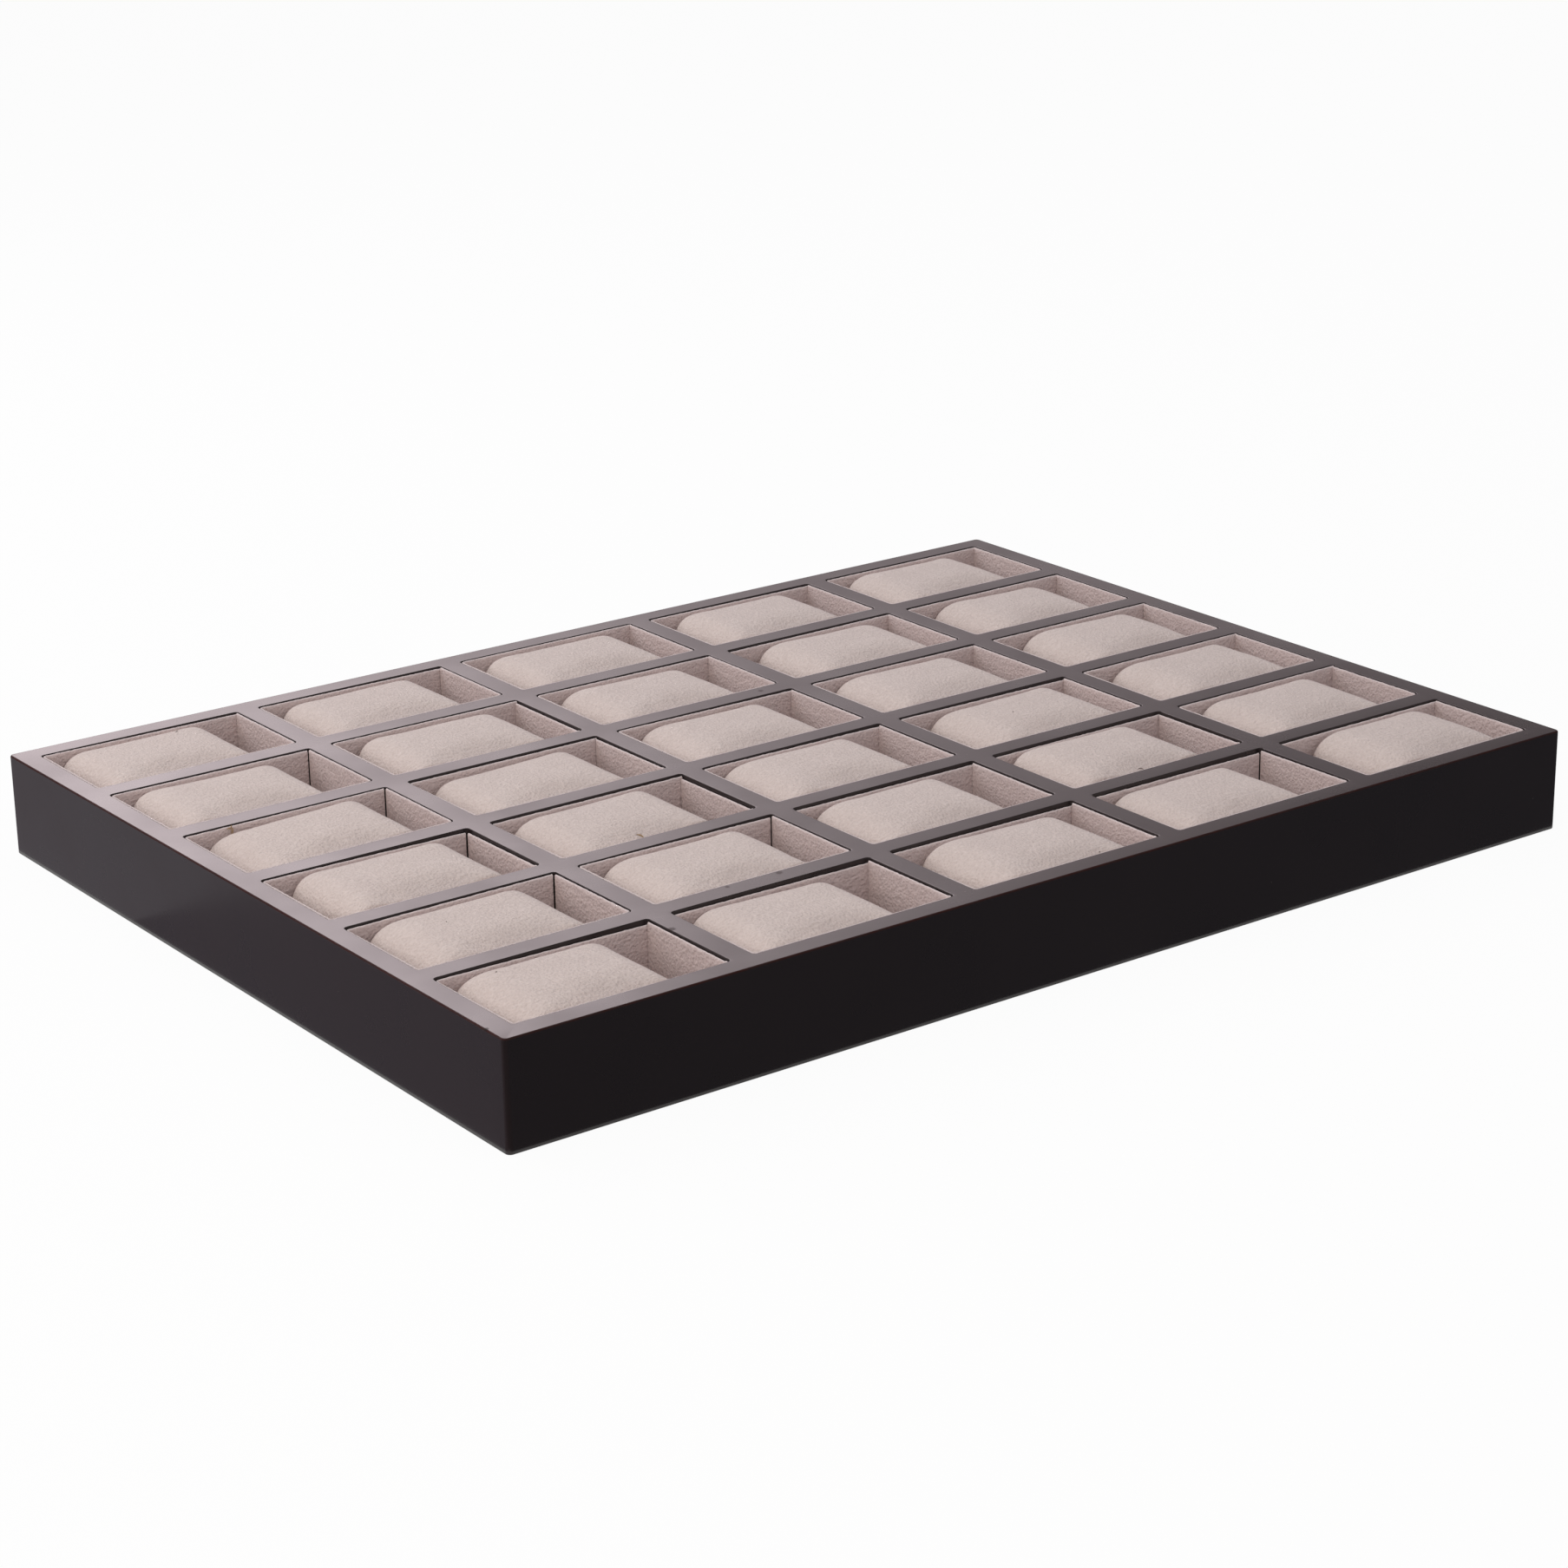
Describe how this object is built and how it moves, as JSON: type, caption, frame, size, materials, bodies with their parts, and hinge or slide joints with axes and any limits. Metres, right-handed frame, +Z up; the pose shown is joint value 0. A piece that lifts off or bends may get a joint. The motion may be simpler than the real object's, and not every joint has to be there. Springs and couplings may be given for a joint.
{
  "type": "watch organizer tray",
  "caption": "Shallow open tray with a lacquered board grid of suede-lined cells, each holding a loose upright cushion that carries a wristwatch by its closed strap.",
  "frame": {"origin": "middle of the underside", "axes": "+X along the long front side towards the right, +Y from the front to the back, +Z up out of the cells"},
  "size_m": [0.48, 0.352, 0.0418],
  "materials": {
    "lacquer": "satin dark brown lacquer over fibreboard",
    "base_board": "matt dark painted hardboard",
    "lining_suede": "taupe imitation suede glued on card",
    "cushion_suede": "ivory imitation suede over soft filling"
  },
  "bodies": {
    "root": {"back_wall": "lacquer", "base_panel": "base_board", "cross_divider_0": "lacquer", "cross_divider_1": "lacquer", "cross_divider_2": "lacquer", "cross_divider_3": "lacquer", "cushion_c0_r0": "cushion_suede", "cushion_c0_r1": "cushion_suede", "cushion_c0_r2": "cushion_suede", "cushion_c0_r3": "cushion_suede", "cushion_c0_r4": "cushion_suede", "cushion_c0_r5": "cushion_suede", "cushion_c1_r0": "cushion_suede", "cushion_c1_r1": "cushion_suede", "cushion_c1_r2": "cushion_suede", "cushion_c1_r3": "cushion_suede", "cushion_c1_r4": "cushion_suede", "cushion_c1_r5": "cushion_suede", "cushion_c2_r0": "cushion_suede", "cushion_c2_r1": "cushion_suede", "cushion_c2_r2": "cushion_suede", "cushion_c2_r3": "cushion_suede", "cushion_c2_r4": "cushion_suede", "cushion_c2_r5": "cushion_suede", "cushion_c3_r0": "cushion_suede", "cushion_c3_r1": "cushion_suede", "cushion_c3_r2": "cushion_suede", "cushion_c3_r3": "cushion_suede", "cushion_c3_r4": "cushion_suede", "cushion_c3_r5": "cushion_suede", "cushion_c4_r0": "cushion_suede", "cushion_c4_r1": "cushion_suede", "cushion_c4_r2": "cushion_suede", "cushion_c4_r3": "cushion_suede", "cushion_c4_r4": "cushion_suede", "cushion_c4_r5": "cushion_suede", "front_wall": "lacquer", "left_wall": "lacquer", "long_divider_0": "lacquer", "long_divider_1": "lacquer", "long_divider_2": "lacquer", "long_divider_3": "lacquer", "long_divider_4": "lacquer", "right_wall": "lacquer", "row_lining_0": "lining_suede", "row_lining_1": "lining_suede", "row_lining_2": "lining_suede", "row_lining_3": "lining_suede", "row_lining_4": "lining_suede", "row_lining_5": "lining_suede"}
  },
  "joints": []
}
